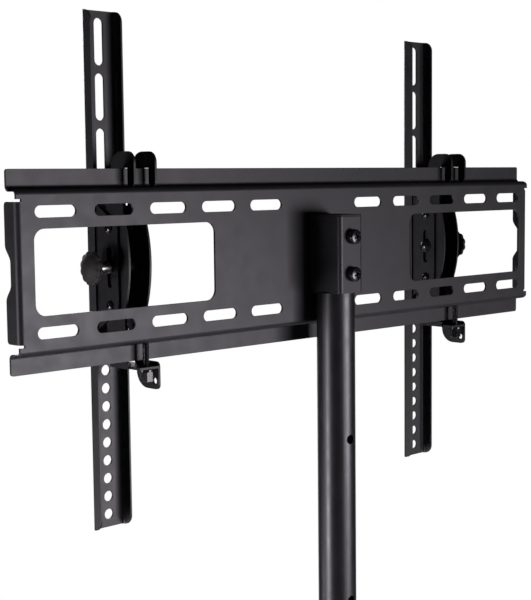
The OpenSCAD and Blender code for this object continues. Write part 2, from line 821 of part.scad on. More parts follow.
module arm(x) {
  first_slot = arm_top - arm_slot_edge - arm_slot_l / 2;
  last_hole = arm_bottom + arm_hole_edge;
  color("#242428") at_plate() translate([x, 0, 0]) difference() {
    intersection() {
      translate([0, -arm_web_y - arm_t, arm_bottom]) linear_extrude(arm_l)
        channel_section(arm_w, arm_d, arm_t, arm_bend_r);
      along_x(arm_w + cut) arm_side_outline();
    }
    translate([0, -arm_web_y - arm_t, 0]) {
      for (i = [0:arm_slots - 1])
        translate([0, -cut, first_slot - i * arm_slot_pitch]) rotate([-90, 90, 0])
          linear_extrude(arm_t + 2 * cut) obround(arm_slot_l, arm_hole_d);
      for (i = [0:arm_holes - 1])
        translate([0, -cut, last_hole + i * arm_hole_pitch]) y_cylinder(arm_hole_d, arm_t + 2 * cut);
      for (s = [-1, 1])
        translate([0, -cut, pivot_z + s * rivet_z]) y_cylinder(rivet_d + 2 * turn_gap, arm_t + 2 * cut);
    }
  }
}

// Outline of a tilt bracket from the side
module tilt_side_outline() {
  r = 5;
  y0 = cheek_rear_y;
  y1 = arm_web_y;
  slope = atan2(web_edge_z - cheek_front_z, cheek_d);
  polygon(concat(
    [[y1, pivot_z - web_edge_z], [y1, pivot_z + web_edge_z]],
    arc(y0 + r, pivot_z + cheek_front_z - r, r, 90 + slope, 180, 4),
    arc(y0 + r, pivot_z - cheek_front_z + r, r, 180, 270 - slope, 4)));
}

module tilt_bracket(x) {
  cheek_x = (tilt_w - tilt_t) / 2;
  color("#2a2a2e") at_plate() translate([x, 0, 0]) difference() {
    intersection() {
      translate([0, -arm_web_y, pivot_z - web_edge_z]) linear_extrude(tilt_web_h)
        channel_section(tilt_w, cheek_d, tilt_t, tilt_bend_r);
      along_x(tilt_w + cut) tilt_side_outline();
    }
    translate([0, -pivot_y, pivot_z]) {
      x_cylinder(pivot_d + 2 * bolt_gap, tilt_w + 2 * cut);
      for (s = [-1, 1]) translate([0, 0, s * guide_r]) x_cylinder(guide_d + 2 * bolt_gap, tilt_w + 2 * cut);
      along_x(tilt_w + 2 * cut) rotate(90) obround(cheek_slot_l, cheek_slot_w);
    }
    for (s = [-1, 1])
      translate([0, -arm_web_y - cut, pivot_z + s * rivet_z])
        y_cylinder(rivet_d + 2 * turn_gap, tilt_t + 2 * cut);
  }
}

module arm_rivets(x) {
  grip = arm_t + tilt_t;
  color("#303032") at_plate() translate([x, -arm_web_y - arm_t, pivot_z]) for (s = [-1, 1]) {
    translate([0, 0, s * rivet_z]) {
      y_cylinder(rivet_d, grip);
      translate([0, grip, 0]) rotate([-90, 0, 0]) domed_head(rivet_head_d, rivet_head_h);
    }
  }
}

// s is 1 where the knob is on the left, -1 where it is on the right
module pivot_bolt(x, s) {
  head_x = -s * tilt_w / 2;
  l = tilt_w + sleeve_l + knob_bolt_in;
  color("#4a4a4c") at_plate() translate([x, -pivot_y, pivot_z]) {
    translate([head_x + s * l / 2, 0, 0]) x_cylinder(pivot_d, l);
    translate([head_x, 0, 0]) rotate([0, -s * 90, 0]) domed_head(pivot_head_d, pivot_head_h);
  }
}

module knob_sleeve(x, s) {
  color("#5a5a5e") at_plate() translate([x + s * (tilt_w + sleeve_l) / 2, -pivot_y, pivot_z]) difference() {
    x_cylinder(sleeve_d, sleeve_l);
    x_cylinder(pivot_d + 2 * turn_gap, sleeve_l + 2 * cut);
  }
}

module tilt_knob(x, s) {
  start = tilt_w / 2 + sleeve_l + gap;
  color("#161616") at_plate() translate([x + s * start, -pivot_y, pivot_z]) rotate([0, s * 90, 0])
    knob(knob_d, knob_rim_h, knob_dome_h, knob_edge_r, knob_flutes, pivot_d, knob_bolt_in);
}

// Places of the guide screws, each turned so that +Z points out of its cheek
module guide_places(x) {
  at_plate() translate([x, -pivot_y, pivot_z]) for (sx = [-1, 1], sz = [-1, 1])
    translate([sx * tilt_w / 2, 0, sz * guide_r]) rotate([0, sx * 90, 0]) children();
}

module guide_screws(x) {
  grip = tilt_t + 2 * gap + hook_t + guide_nut_h + guide_tail;
  color("#3a3a3c") guide_places(x) {
    translate([0, 0, -grip]) cylinder(d = guide_d, h = grip);
    domed_head(guide_head_d, guide_head_h);
  }
}

module guide_nuts(x) {
  nut_top = tilt_w / 2 - hook_w / 2 + hook_t + gap;
  color("#4a4a4c") guide_places(x) translate([0, 0, -nut_top - guide_nut_h]) difference() {
    hex_prism(guide_nut_af, guide_nut_h);
    translate([0, 0, -cut]) cylinder(r = guide_d / 2 + turn_gap, h = guide_nut_h + 2 * cut);
  }
}

base_plate();
rubber_feet();
pole_flange();
base_bolts();
lower_pole();
pole_bush();
clamp_collar();
height_lock_stud();
height_knob();
upper_pole();
pole_top_disc();
column_head();
head_cap();
head_bolts();
head_washers();
head_nuts();
wall_plate();
hook_bracket(left_x);  // hook_bracket_left
pivot_spacer(left_x);  // pivot_spacer_left
security_washer(left_x);  // security_washer_left
security_screw(left_x);  // security_screw_left
arm(left_x);  // arm_left
tilt_bracket(left_x);  // tilt_bracket_left
arm_rivets(left_x);  // arm_rivets_left
pivot_bolt(left_x, 1);  // pivot_bolt_left
knob_sleeve(left_x, 1);  // knob_sleeve_left
guide_screws(left_x);  // guide_screws_left
guide_nuts(left_x);  // guide_nuts_left
tilt_knob(left_x, 1);  // tilt_knob_left
hook_bracket(-right_x);  // hook_bracket_right
pivot_spacer(-right_x);  // pivot_spacer_right
security_washer(-right_x);  // security_washer_right
security_screw(-right_x);  // security_screw_right
arm(-right_x);  // arm_right
tilt_bracket(-right_x);  // tilt_bracket_right
arm_rivets(-right_x);  // arm_rivets_right
pivot_bolt(-right_x, -1);  // pivot_bolt_right
knob_sleeve(-right_x, -1);  // knob_sleeve_right
guide_screws(-right_x);  // guide_screws_right
guide_nuts(-right_x);  // guide_nuts_right
tilt_knob(-right_x, -1);  // tilt_knob_right
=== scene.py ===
"""Looks of a television floor stand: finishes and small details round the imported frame.

Z is up, the screen side faces -Y, and +X is on the left as seen from behind. Lengths are in metres.
"""
import json
import math

import bmesh
import bpy
from mathutils import Matrix, Vector

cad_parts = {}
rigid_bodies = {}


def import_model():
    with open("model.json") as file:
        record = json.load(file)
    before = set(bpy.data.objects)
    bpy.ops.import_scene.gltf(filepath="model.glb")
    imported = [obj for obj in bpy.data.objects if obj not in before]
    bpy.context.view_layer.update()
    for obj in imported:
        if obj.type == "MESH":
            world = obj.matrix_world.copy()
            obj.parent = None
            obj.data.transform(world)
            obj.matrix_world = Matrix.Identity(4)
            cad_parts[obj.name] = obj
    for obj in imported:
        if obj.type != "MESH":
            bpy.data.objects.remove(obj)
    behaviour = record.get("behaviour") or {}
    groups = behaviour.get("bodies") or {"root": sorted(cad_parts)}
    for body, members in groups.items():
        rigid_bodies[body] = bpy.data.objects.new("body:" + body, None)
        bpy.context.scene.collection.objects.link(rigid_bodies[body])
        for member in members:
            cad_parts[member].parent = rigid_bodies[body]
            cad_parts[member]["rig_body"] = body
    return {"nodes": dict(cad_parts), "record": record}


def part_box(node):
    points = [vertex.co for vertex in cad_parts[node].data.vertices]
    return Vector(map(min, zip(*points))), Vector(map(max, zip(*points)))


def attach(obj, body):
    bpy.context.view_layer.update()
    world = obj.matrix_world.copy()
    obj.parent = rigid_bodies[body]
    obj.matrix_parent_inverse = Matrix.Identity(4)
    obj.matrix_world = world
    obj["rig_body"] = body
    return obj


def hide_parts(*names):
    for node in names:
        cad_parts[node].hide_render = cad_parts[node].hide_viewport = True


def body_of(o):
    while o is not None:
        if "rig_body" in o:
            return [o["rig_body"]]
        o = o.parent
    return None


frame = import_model()
NODES = frame["nodes"]
SLOTS = {entry["node"]: entry["material_slot"] for entry in frame["record"]["subparts"]}
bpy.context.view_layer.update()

MM = 0.001
# Each side's name, and the way along X that leads out to it
SIDES = (("left", 1), ("right", -1))

# Camera, solved from the wall plate's edges and slots in the photograph.
# Angles are in degrees, and the lens and the sensor in millimetres.
CAMERA_PLACE = (0.86162, 0.81199, 1.30410)
CAMERA_HEADING = 136.391
CAMERA_PITCH = -5.302
CAMERA_ROLL = -0.628
CAMERA_LENS = 78.372
CAMERA_SENSOR = 36.0
CAMERA_NEAR = 0.05


def add_camera():
    """The photograph's camera: its sensor's long side is the picture's height."""
    data = bpy.data.cameras.new("camera")
    data.lens = CAMERA_LENS
    data.sensor_width = CAMERA_SENSOR
    data.sensor_fit = "AUTO"
    data.clip_start = CAMERA_NEAR
    camera = bpy.data.objects.new("camera", data)
    bpy.context.scene.collection.objects.link(camera)
    turn = (Matrix.Rotation(math.radians(CAMERA_HEADING), 4, "Z")
            @ Matrix.Rotation(math.radians(90 + CAMERA_PITCH), 4, "X")
            @ Matrix.Rotation(math.radians(CAMERA_ROLL), 4, "Z"))
    camera.matrix_world = Matrix.Translation(CAMERA_PLACE) @ turn
    bpy.context.scene.camera = camera


# Studio room. Reflections show a white backdrop behind the stand, in a sector round an azimuth
# (degrees, 0 is +X). BACKDROP_TOP is the direction's Z up to which it is white, and where it ends.
ROOM_GREY = (0.5, 0.49, 0.515, 1.0)
ROOM_LEVEL = 0.03
BACKDROP_WHITE = (1.0, 1.0, 1.0, 1.0)
BACKDROP_LEVEL = 1.0
BACKDROP_AZIMUTH = 226.0
BACKDROP_HALF_WIDTH = 25.0
BACKDROP_FADE = 13.0
BACKDROP_TOP = (0.02, 0.2)


def add_world():
    """White to camera and transmission rays; gloss sees the backdrop, and all else a dim room."""
    world = bpy.data.worlds.new("studio")
    world.use_nodes = True
    tree = world.node_tree
    tree.nodes.clear()

    def combine(operation, first, second):
        made = tree.nodes.new("ShaderNodeMath")
        made.operation = operation
        tree.links.new(first, made.inputs[0])
        tree.links.new(second, made.inputs[1])
        return made.outputs[0]

    def fade(value, gone, full):
        made = tree.nodes.new("ShaderNodeMapRange")
        made.inputs["From Min"].default_value = gone
        made.inputs["From Max"].default_value = full
        tree.links.new(value, made.inputs["Value"])
        return made.outputs["Result"]

    def background(colour, level):
        made = tree.nodes.new("ShaderNodeBackground")
        made.inputs["Color"].default_value = colour
        made.inputs["Strength"].default_value = level
        return made.outputs[0]

    direction = tree.nodes.new("ShaderNodeTexCoord").outputs["Generated"]
    azimuth = math.radians(BACKDROP_AZIMUTH)
    towards = tree.nodes.new("ShaderNodeVectorMath")
    towards.operation = "DOT_PRODUCT"
    towards.inputs[1].default_value = (math.cos(azimuth), math.sin(azimuth), 0.0)
    tree.links.new(direction, towards.inputs[0])
    outer = math.cos(math.radians(BACKDROP_HALF_WIDTH + BACKDROP_FADE))
    inner = math.cos(math.radians(BACKDROP_HALF_WIDTH))
    across = fade(towards.outputs["Value"], outer, inner)

    split = tree.nodes.new("ShaderNodeSeparateXYZ")
    tree.links.new(direction, split.inputs[0])
    below = fade(split.outputs["Z"], BACKDROP_TOP[1], BACKDROP_TOP[0])

    rays = tree.nodes.new("ShaderNodeLightPath").outputs
    gloss = combine("MULTIPLY", rays["Is Glossy Ray"], combine("MULTIPLY", across, below))
    direct = combine("MAXIMUM", rays["Is Camera Ray"], rays["Is Transmission Ray"])
    mix = tree.nodes.new("ShaderNodeMixShader")
    tree.links.new(combine("MAXIMUM", direct, gloss), mix.inputs["Fac"])
    tree.links.new(background(ROOM_GREY, ROOM_LEVEL), mix.inputs[1])
    tree.links.new(background(BACKDROP_WHITE, BACKDROP_LEVEL), mix.inputs[2])
    out = tree.nodes.new("ShaderNodeOutputWorld")
    tree.links.new(mix.outputs[0], out.inputs["Surface"])
    bpy.context.scene.world = world


# Softboxes: name, azimuth and elevation in degrees, (width, height), brightness.
# Azimuth 0 is +X, and 90 is +Y.
SOFTBOXES = (
    ("key_right", 111, -10, (1.4, 0.9), 13.0),
    ("rim_left", -11, -18, (0.6, 0.8), 26.0),
    ("card_low_left", -50, -27, (0.6, 0.5), 7.0),
    ("fill_front", -105, 18, (1.5, 1.0), 7.0),
)
SOFTBOX_DISTANCE = 2.6
SOFTBOX_FOCUS = Vector((0.0, 0.0, 1.2))
SOFTBOX_TINT = (0.97, 0.92, 1.0)


def add_softbox(name, azimuth, elevation, size, brightness):
    """A rectangular lamp that looks at the mount."""
    data = bpy.data.lights.new(name, "AREA")
    data.shape = "RECTANGLE"
    data.size, data.size_y = size
    data.energy = brightness * math.pi * size[0] * size[1]
    data.color = SOFTBOX_TINT
    lamp = bpy.data.objects.new(name, data)
    bpy.context.scene.collection.objects.link(lamp)
    a, e = math.radians(azimuth), math.radians(elevation)
    back = Vector((math.cos(a) * math.cos(e), math.sin(a) * math.cos(e), math.sin(e)))
    lamp.location = SOFTBOX_FOCUS + back * SOFTBOX_DISTANCE
    lamp.rotation_euler = back.to_track_quat("Z", "Y").to_euler()


# Floor
FLOOR_RADIUS = 1.9
FLOOR_CORNERS = 128
FLOOR_COLOUR = (0.9, 0.9, 0.9, 1)
FLOOR_ROUGH = 0.9


def add_floor():
    """A pale round floor that keeps the stand's shadow."""
    bpy.ops.mesh.primitive_circle_add(vertices=FLOOR_CORNERS, radius=FLOOR_RADIUS, fill_type="NGON")
    floor = bpy.context.object
    floor.name = "studio_floor"
    material = bpy.data.materials.new("floor_white")
    material.use_nodes = True
    shader = material.node_tree.nodes["Principled BSDF"]
    shader.inputs["Base Color"].default_value = FLOOR_COLOUR
    shader.inputs["Roughness"].default_value = FLOOR_ROUGH
    floor.data.materials.append(material)


# Materials. The scales are noise features per metre, and the darks are shares of the main tone.
TEXTURE_MIDDLE = (0.3, 0.7)
BEVEL_SAMPLES = 4
PLASTIC_IOR = 1.5
COAT_TONE_SCALE = 9.0
COAT_GLOSS_SCALE = 60.0
COAT_PEBBLE_SCALE = 1400.0
STEEL_PATCH_SCALE = 140.0
STEEL_LINE_SCALE = 900.0
STEEL_DARK = 0.82
MOULD_PATCH_SCALE = 500.0
MOULD_DARK = 0.4
MOULD_SHINE = 0.25


class Finish:
    """Builds one procedural material from object coordinates."""

    def __init__(self, name):
        self.material = bpy.data.materials.new(name)
        self.material.use_nodes = True
        self.tree = self.material.node_tree
        self.shader = self.tree.nodes["Principled BSDF"]
        self.place = self.node("ShaderNodeTexCoord").outputs["Object"]

    def node(self, kind, **values):
        made = self.tree.nodes.new(kind)
        for key, value in values.items():
            setattr(made, key, value)
        return made

    def link(self, out, into):
        self.tree.links.new(out, into)

    def set(self, **values):
        for key, value in values.items():
            self.shader.inputs[key.replace("_", " ")].default_value = value

    def noise(self, scale, detail=2.0, rough=0.5, stretch=None):
        texture = self.node("ShaderNodeTexNoise")
        texture.inputs["Scale"].default_value = scale
        texture.inputs["Detail"].default_value = detail
        texture.inputs["Roughness"].default_value = rough
        place = self.place
        if stretch:
            mapping = self.node("ShaderNodeMapping")
            mapping.inputs["Scale"].default_value = stretch
            self.link(place, mapping.inputs["Vector"])
            place = mapping.outputs[0]
        self.link(place, texture.inputs["Vector"])
        return texture.outputs["Fac"]

    def spread(self, value, low, high):
        """Maps a texture's middle range to low..high."""
        ranged = self.node("ShaderNodeMapRange")
        ranged.inputs["From Min"].default_value = TEXTURE_MIDDLE[0]
        ranged.inputs["From Max"].default_value = TEXTURE_MIDDLE[1]
        ranged.inputs["To Min"].default_value = low
        ranged.inputs["To Max"].default_value = high
        self.link(value, ranged.inputs["Value"])
        return ranged.outputs["Result"]

    def tone(self, value, dark, light):
        """Base colour between two tones, as the texture has it."""
        mix = self.node("ShaderNodeMix", data_type="RGBA")
        mix.inputs["A"].default_value = (*dark, 1)
        mix.inputs["B"].default_value = (*light, 1)
        self.link(self.spread(value, 0.0, 1.0), mix.inputs["Factor"])
        self.link(mix.outputs["Result"], self.shader.inputs["Base Color"])

    def roughness(self, value, middle, less, more):
        """Roughness from this much less than the middle to this much more."""
        self.link(self.spread(value, middle - less, middle + more), self.shader.inputs["Roughness"])

    def relief(self, value, strength, depth, edge):
        """Bump from a texture over edges rounded by the given radius."""
        bump = self.node("ShaderNodeBump")
        bump.inputs["Strength"].default_value = strength
        bump.inputs["Distance"].default_value = depth
        self.link(value, bump.inputs["Height"])
        bevel = self.node("ShaderNodeBevel", samples=BEVEL_SAMPLES)
        bevel.inputs["Radius"].default_value = edge
        self.link(bevel.outputs[0], bump.inputs["Normal"])
        self.link(bump.outputs[0], self.shader.inputs["Normal"])


def powder_coat(name, dark, light, rough, edge, shine=0.5):
    """Satin powder coat: a fine pebbled skin, and slow changes of tone and gloss."""
    finish = Finish(name)
    finish.set(Metallic=0.0, IOR=PLASTIC_IOR, Specular_IOR_Level=shine)
    finish.tone(finish.noise(COAT_TONE_SCALE, detail=3.0), dark, light)
    finish.roughness(finish.noise(COAT_GLOSS_SCALE), rough, less=0.03, more=0.04)
    pebbles = finish.noise(COAT_PEBBLE_SCALE, rough=0.6)
    finish.relief(pebbles, strength=0.35, depth=0.06 * MM, edge=edge)
    return finish.material


def steel(name, tone, rough, stretch, metallic=1.0):
    """Turned or plated steel with fine lines and a little patchiness."""
    finish = Finish(name)
    finish.set(Metallic=metallic)
    dark = tuple(STEEL_DARK * c for c in tone)
    finish.tone(finish.noise(STEEL_PATCH_SCALE, detail=3.0), dark, tone)
    lines = finish.noise(STEEL_LINE_SCALE, detail=3.0, stretch=stretch)
    finish.roughness(lines, rough, less=0.06, more=0.08)
    finish.relief(lines, strength=0.2, depth=0.03 * MM, edge=0.25 * MM)
    return finish.material


def moulded(name, tone, rough, grain):
    """Moulded plastic or rubber with a mottled skin and a fine grain."""
    finish = Finish(name)
    finish.set(Metallic=0.0, IOR=PLASTIC_IOR, Specular_IOR_Level=MOULD_SHINE)
    dark = tuple(MOULD_DARK * c for c in tone)
    finish.tone(finish.noise(MOULD_PATCH_SCALE, detail=4.0, rough=0.7), dark, tone)
    fine = finish.noise(grain, detail=3.0, rough=0.65)
    finish.roughness(fine, rough, less=0.05, more=0.06)
    finish.relief(fine, strength=0.4, depth=0.08 * MM, edge=0.4 * MM)
    return finish.material


def make_finishes():
    """A finish for each material slot of the record."""
    return {
        "plate_coat": powder_coat("plate_coat", (0.008, 0.0075, 0.0085), (0.012, 0.0115, 0.0125),
                                  rough=0.45, edge=0.5 * MM),
        "bracket_coat": powder_coat("bracket_coat", (0.005, 0.005, 0.0055), (0.008, 0.0075, 0.0085),
                                    rough=0.42, edge=0.4 * MM, shine=0.35),
        "pole_coat": powder_coat("pole_coat", (0.006, 0.0055, 0.0065), (0.009, 0.0085, 0.0095),
                                 rough=0.36, edge=0.4 * MM),
        "base_coat": powder_coat("base_coat", (0.030, 0.029, 0.032), (0.040, 0.038, 0.042),
                                 rough=0.45, edge=0.8 * MM),
        "dark_fastener": steel("dark_fastener", (0.008, 0.008, 0.009), rough=0.20,
                               stretch=(1, 1, 1), metallic=0.0),
        "zinc_steel": steel("zinc_steel", (0.48, 0.48, 0.50), rough=0.36, stretch=(1, 1, 6)),
        "bright_steel": steel("bright_steel", (0.42, 0.42, 0.43), rough=0.24, stretch=(8, 1, 1)),
        "black_plastic": moulded("black_plastic", (0.024, 0.020, 0.019), rough=0.62, grain=1500.0),
        "foot_rubber": moulded("foot_rubber", (0.018, 0.018, 0.018), rough=0.75, grain=900.0),
    }


def dress_frame():
    """Gives every CAD node the finish of its record slot."""
    for name, node in NODES.items():
        node.data.materials.clear()
        node.data.materials.append(FINISHES[SLOTS[name]])


# Turned shapes. A profile is a list of (radius, height), and a bend is an edge's radius.
SEGMENTS = 96
EDGE_STEPS = 5
QUARTER = [math.pi / 2 * i / EDGE_STEPS for i in range(EDGE_STEPS + 1)]
WELD = 0.001 * MM


def solids(name):
    """Boxes (low, high) of the separate solids in a CAD node, in order."""
    mesh = bmesh.new()
    mesh.from_mesh(NODES[name].data)
    mesh.transform(NODES[name].matrix_world)
    bmesh.ops.remove_doubles(mesh, verts=mesh.verts, dist=WELD)
    left, boxes = set(mesh.verts), []
    while left:
        front = [left.pop()]
        found = list(front)
        while front:
            near = [e.other_vert(v) for v in front for e in v.link_edges]
            front = [v for v in dict.fromkeys(near) if v in left]
            left.difference_update(front)
            found.extend(front)
        places = [v.co.copy() for v in found]
        low, high = (Vector([pick(p[i] for p in places) for i in range(3)]) for pick in (min, max))
        boxes.append((low, high))
    mesh.free()
    return sorted(boxes, key=lambda box: tuple(box[0]))


def facing(place, axis, side):
    """A frame at a place whose Z axis runs along axis and whose X axis runs along side."""
    axis, side = Vector(axis), Vector(side)
    turn = Matrix((side, axis.cross(side), axis)).transposed().to_4x4()
    return Matrix.Translation(place) @ turn


def upright(place):
    """A frame at a place with the part's own axes."""
    return facing(place, (0, 0, 1), (1, 0, 0))


def lathe(mesh, place, profile, shape=None, ring_shaped=False):
    """A closed turned solid; shape, where given, can change a radius round the turn."""
    rings = []
    for radius, height in profile:
        count = SEGMENTS if radius else 1
        ring = []
        for i in range(count):
            angle = 2 * math.pi * i / SEGMENTS
            r = shape(radius, height, angle) if shape and radius else radius
            ring.append(mesh.verts.new(place @ Vector((r * math.cos(angle), r * math.sin(angle), height))))
        rings.append(ring)
    if ring_shaped:
        rings.append(rings[0])
    for low, high in zip(rings, rings[1:]):
        for i in range(SEGMENTS):
            j = (i + 1) % SEGMENTS
            corners = (low[i % len(low)], low[j % len(low)], high[j % len(high)], high[i % len(high)])
            kept = list(dict.fromkeys(corners))
            if len(kept) > 2:
                mesh.faces.new(kept)


def round_foot(radius, bend):
    """Points round a convex lower edge whose corner is at (radius, 0), from below to the side."""
    return [(radius - bend + bend * math.sin(a), bend - bend * math.cos(a)) for a in QUARTER]


def round_edge(radius, height, bend):
    """Points round a convex upper edge whose corner is at (radius, height), from the side to the top."""
    return [(radius - bend + bend * math.cos(a), height - bend + bend * math.sin(a)) for a in QUARTER]


def dome(radius, low, high):
    """Points over a shallow dome from its rim at height low to its top at height high."""
    rise = high - low
    ball = (radius ** 2 + rise ** 2) / (2 * rise)
    edge = math.asin(radius / ball)
    count = 2 * EDGE_STEPS
    steps = [edge * (1 - i / count) for i in range(count)]
    return [(ball * math.sin(a), high - ball + ball * math.cos(a)) for a in steps] + [(0.0, high)]


def domed_head(radius, rim, height):
    """A screw head with a straight rim and a shallow dome."""
    return [(0.0, 0.0), (radius, 0.0), (radius, rim)] + dome(radius, rim, height)[1:]


# Hexagons. The end faces' radius is a share of the width across the flats, and the
# turned-down corners' drop is a share of how far the corners stand out from it.
HEX_FACE = 0.47
HEX_DROP = 0.45


def hexagon(flats):
    """Limits a turned shape to a hexagon with a corner on X and this width across its flats."""
    def shape(radius, height, angle):
        return min(radius, flats / 2 / math.cos(angle % (math.pi / 3) - math.pi / 6))
    return shape


def hex_profile(flats, height):
    """A hexagonal head or nut whose corners are turned down at both ends."""
    corner = flats / math.sqrt(3)
    face = HEX_FACE * flats
    drop = HEX_DROP * (corner - face)
    return [(0.0, 0.0), (face, 0.0), (corner, drop), (corner, height - drop), (face, height), (0.0, height)]


# Threads. The depth and how far the chamfered ends are turned down are shares of the pitch.
THREAD_STEPS = 4
THREAD_DEPTH = 0.55
THREAD_END = 0.6


def threaded_rod(mesh, place, radius, length, pitch):
    """A rod with a thread and chamfered ends, from the place along its Z axis."""
    count = max(2, round(length / pitch * THREAD_STEPS))
    core = radius - THREAD_END * pitch
    profile = [(0.0, 0.0), (core, 0.0)]
    profile += [(radius, length * i / count) for i in range(1, count)]
    profile += [(core, length), (0.0, length)]

    def shape(r, height, angle):
        if r <= core:
            return r
        phase = (height / pitch - angle / (2 * math.pi)) % 1.0
        return r - THREAD_DEPTH * pitch * abs(2 * phase - 1)
    lathe(mesh, place, profile, shape)


# Cross recesses. The flare at the top, the height where it ends and the width at the
# bottom are shares of the recess's own width and depth.
RECESS_TURN = math.radians(20)
RECESS_FLARE = 1.15
RECESS_OVER = 0.35
RECESS_TIP = 0.45


def cross_recess(place, span, wing, depth):
    """A tapered cross-shaped cutter that reaches down from the place."""
    mesh = bmesh.new()
    outline = []
    for quarter in range(4):
        turn = Matrix.Rotation(quarter * math.pi / 2, 4, "Z")
        for x, y in ((wing / 2, wing / 2), (span / 2, wing / 2), (span / 2, -wing / 2)):
            outline.append(turn @ Vector((x, -y, 0)))
    rings = []
    for share, height in ((RECESS_FLARE, RECESS_OVER * depth), (1.0, 0.0), (RECESS_TIP, -depth)):
        ring = [place @ Vector((p.x * share, p.y * share, height)) for p in outline]
        rings.append([mesh.verts.new(point) for point in ring])
    for low, high in zip(rings, rings[1:]):
        for i in range(len(outline)):
            j = (i + 1) % len(outline)
            mesh.faces.new((low[i], low[j], high[j], high[i]))
    mesh.faces.new(rings[0])
    mesh.faces.new(rings[-1])
    return mesh


# Pieces that stand for CAD nodes
SMOOTH_ANGLE = math.radians(32)


def as_object(name, mesh):
    """Turns a working mesh into an object and frees it."""
    bmesh.ops.recalc_face_normals(mesh, faces=mesh.faces)
    data = bpy.data.meshes.new(name)
    mesh.to_mesh(data)
    mesh.free()
    made = bpy.data.objects.new(name, data)
    bpy.context.scene.collection.objects.link(made)
    return made


def cut_away(piece, cutter):
    """Cuts one closed mesh out of another and drops the cutter."""
    cut = piece.modifiers.new("cut", "BOOLEAN")
    cut.operation = "DIFFERENCE"
    cut.solver = "EXACT"
    cut.object = cutter
    bpy.context.view_layer.update()
    result = bpy.data.meshes.new_from_object(piece.evaluated_get(bpy.context.evaluated_depsgraph_get()))
    piece.modifiers.clear()
    old = piece.data
    piece.data = result
    bpy.data.meshes.remove(old)
    bpy.data.objects.remove(cutter)


def stand_for(node, mesh, cutters=()):
    """Makes a piece, cuts it, and gives it the finish and body of the CAD node that it stands for."""
    piece = as_object(node + "_detail", mesh)
    for cutter in cutters:
        cut_away(piece, as_object("cutter", cutter))
    piece.data.shade_smooth()
    piece.data.set_sharp_from_angle(angle=SMOOTH_ANGLE)
    piece.data.materials.clear()
    piece.data.materials.append(FINISHES[SLOTS[node]])
    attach(piece, body_of(NODES[node])[0])
    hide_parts(node)


def cross_screws(node, placed, head, shank, recess):
    """Screws with a cross recess; shank is (radius, length, pitch) and runs down from each place."""
    radius, length, pitch = shank
    top = head[-1][1]
    mesh = bmesh.new()
    cutters = []
    for place in placed:
        lathe(mesh, place, head)
        threaded_rod(mesh, place @ Matrix.Translation((0, 0, -length)), radius, length, pitch)
        spun = place @ Matrix.Translation((0, 0, top)) @ Matrix.Rotation(RECESS_TURN, 4, "Z")
        cutters.append(cross_recess(spun, *recess))
    stand_for(node, mesh, cutters)


# Head bolts. A recess is its span, its wings' width and its depth.
HEAD_BOLT_R = 4.0 * MM
HEAD_BOLT_PITCH = 1.25 * MM
HEAD_BOLT_EDGE = 1.8 * MM
HEAD_BOLT_CROWN = 0.5 * MM
HEAD_RECESS = (8.2 * MM, 1.7 * MM, 3.2 * MM)


def head_bolts():
    """Black bolts with a round-edged head and a cross recess, through the tube on the pole."""
    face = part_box("column_head")[1].y
    boxes = solids("head_bolts")
    low, high = boxes[0]
    radius, height = (high.x - low.x) / 2, high.y - face
    shoulder = height - HEAD_BOLT_CROWN
    head = [(0.0, 0.0), (radius, 0.0)]
    head += round_edge(radius, shoulder, HEAD_BOLT_EDGE)[:-1]
    head += dome(radius - HEAD_BOLT_EDGE, shoulder, height)
    placed = [facing(((lo.x + hi.x) / 2, face, (lo.z + hi.z) / 2), (0, 1, 0), (1, 0, 0)) for lo, hi in boxes]
    cross_screws("head_bolts", placed, head, (HEAD_BOLT_R, face - low.y, HEAD_BOLT_PITCH), HEAD_RECESS)


# Guide screws
GUIDE_SCREW_R = 2.4 * MM
GUIDE_SCREW_PITCH = 0.8 * MM
GUIDE_HEAD_RIM = 1.0 * MM
GUIDE_HEAD_H = 3.0 * MM
GUIDE_RECESS = (5.2 * MM, 1.2 * MM, 1.7 * MM)


def guide_screws(side):
    """Small round-headed screws that guide the slotted cheeks on one side of the mount."""
    node = "guide_screws_" + side
    boxes = solids(node)
    middle = sum((lo.x + hi.x) / 2 for lo, hi in boxes) / len(boxes)
    low, high = boxes[0]
    head = domed_head((high.z - low.z) / 2, GUIDE_HEAD_RIM, GUIDE_HEAD_H)
    placed = []
    for lo, hi in boxes:
        out = math.copysign(1.0, (lo.x + hi.x) / 2 - middle)
        x = hi.x - GUIDE_HEAD_H if out > 0 else lo.x + GUIDE_HEAD_H
        placed.append(facing((x, (lo.y + hi.y) / 2, (lo.z + hi.z) / 2), (out, 0, 0), (0, 0, 1)))
    shank = (GUIDE_SCREW_R, high.x - low.x - GUIDE_HEAD_H, GUIDE_SCREW_PITCH)
    cross_screws(node, placed, head, shank, GUIDE_RECESS)


# Nuts
NUT_CLEARANCE = 0.15 * MM


def nuts(node, axis, corner_side, bolt_r):
    """Hexagonal nuts with turned corners and a clear bore."""
    axis, corner_side = Vector(axis), Vector(corner_side)
    bore = bolt_r + NUT_CLEARANCE
    mesh = bmesh.new()
    for low, high in solids(node):
        size = high - low
        height = abs(size.dot(axis))
        flats = abs(size.dot(corner_side)) * math.sqrt(3) / 2
        base = (low + high - axis * height) / 2
        profile = hex_profile(flats, height)[1:-1] + [(bore, height), (bore, 0.0)]
        lathe(mesh, facing(base, axis, corner_side), profile, hexagon(flats), ring_shaped=True)
    stand_for(node, mesh)


